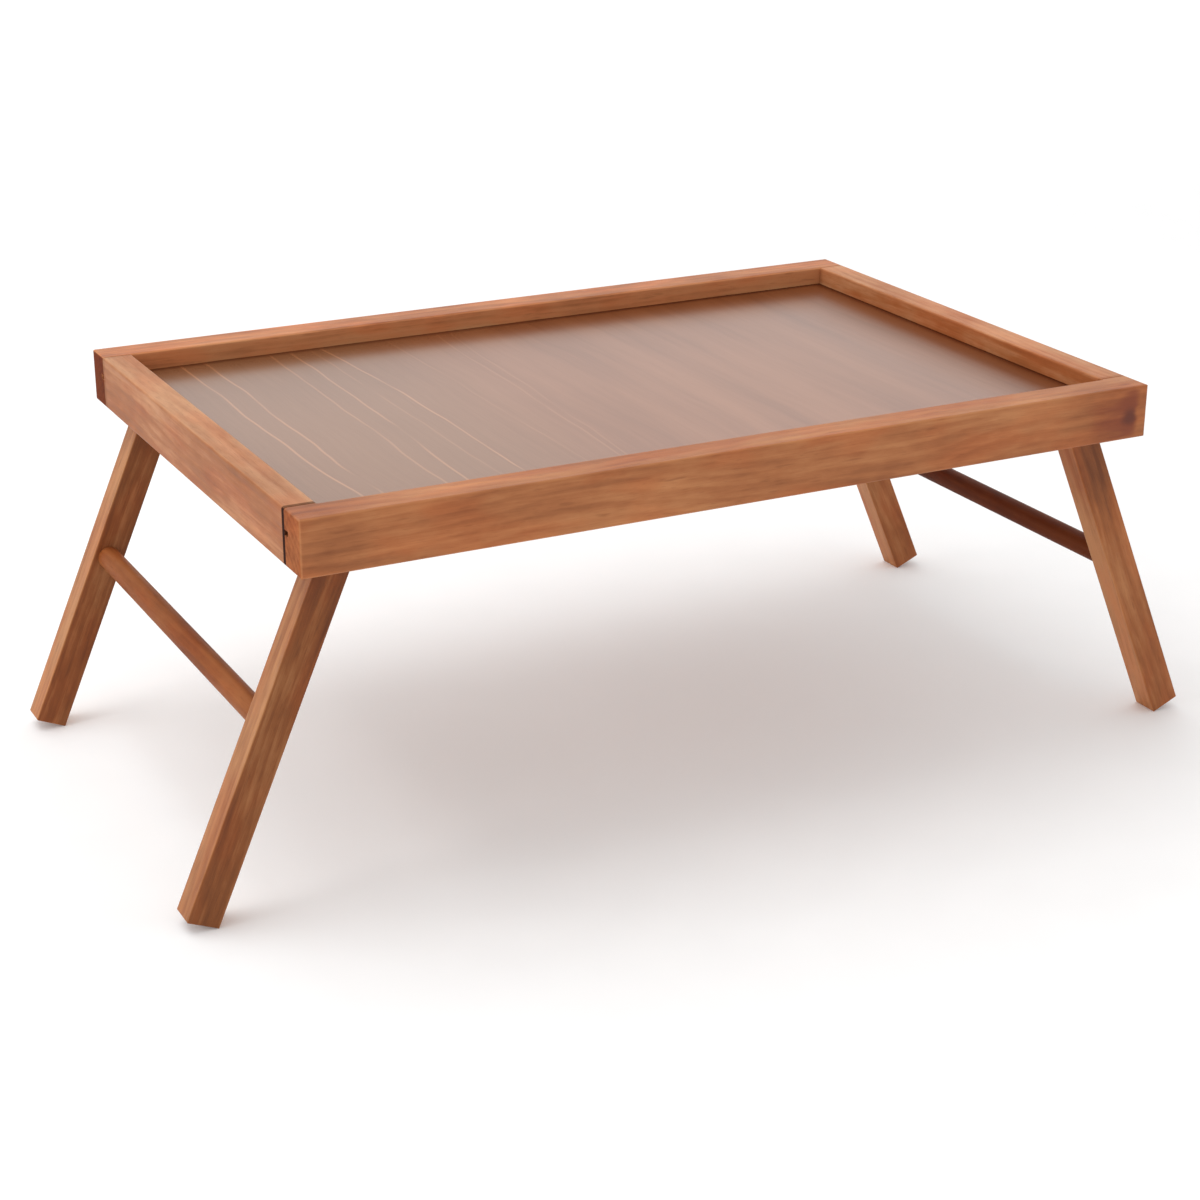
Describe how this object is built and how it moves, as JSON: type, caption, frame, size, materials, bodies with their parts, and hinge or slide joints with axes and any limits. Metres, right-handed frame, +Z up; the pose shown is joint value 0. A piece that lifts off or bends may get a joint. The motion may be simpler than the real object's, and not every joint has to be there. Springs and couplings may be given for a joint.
{
  "type": "folding tray table",
  "caption": "Low wooden bed tray: a shallow framed tray on two splayed leg pairs that each fold flat under the panel.",
  "frame": {"origin": "on the ground, below the centre of the tray, with the legs open", "axes": "+X along the tray's long side, towards the right leg pair; +Y from the front rail to the back rail; +Z up"},
  "size_m": [0.6194, 0.335, 0.215],
  "materials": {
    "long_rail_wood": "oiled reddish-brown hardwood, satin",
    "end_rail_wood": "oiled reddish-brown hardwood, satin",
    "panel_veneer": "thin lacquered veneer with a semi-gloss face",
    "leg_wood": "oiled reddish-brown hardwood, satin",
    "stretcher_wood": "oiled reddish-brown hardwood, turned round",
    "dowel_wood": "raw fluted beech",
    "screw_steel": "zinc-plated",
    "washer_steel": "zinc-plated"
  },
  "bodies": {
    "tray": {"front_rail": "long_rail_wood", "back_rail": "long_rail_wood", "left_end_rail": "end_rail_wood", "right_end_rail": "end_rail_wood", "tray_panel": "panel_veneer", "front_left_dowel": "dowel_wood", "front_right_dowel": "dowel_wood", "back_left_dowel": "dowel_wood", "back_right_dowel": "dowel_wood", "front_left_screw": "screw_steel", "front_right_screw": "screw_steel", "back_left_screw": "screw_steel", "back_right_screw": "screw_steel", "front_left_rail_washer": "washer_steel", "front_right_rail_washer": "washer_steel", "back_left_rail_washer": "washer_steel", "back_right_rail_washer": "washer_steel", "front_left_head_washer": "washer_steel", "front_right_head_washer": "washer_steel", "back_left_head_washer": "washer_steel", "back_right_head_washer": "washer_steel"},
    "left_leg_pair": {"front_left_leg": "leg_wood", "back_left_leg": "leg_wood", "left_stretcher": "stretcher_wood"},
    "right_leg_pair": {"front_right_leg": "leg_wood", "back_right_leg": "leg_wood", "right_stretcher": "stretcher_wood"}
  },
  "joints": [
    {"name": "left_fold", "type": "hinge", "parent": "tray", "child": "left_leg_pair", "pos_m": [-0.22042, 0, 0.19199], "axis": [0, -1, 0], "range_deg": [0, 113.3]},
    {"name": "right_fold", "type": "hinge", "parent": "tray", "child": "right_leg_pair", "pos_m": [0.22042, 0, 0.19199], "axis": [0, 1, 0], "range_deg": [0, 113.3]}
  ]
}
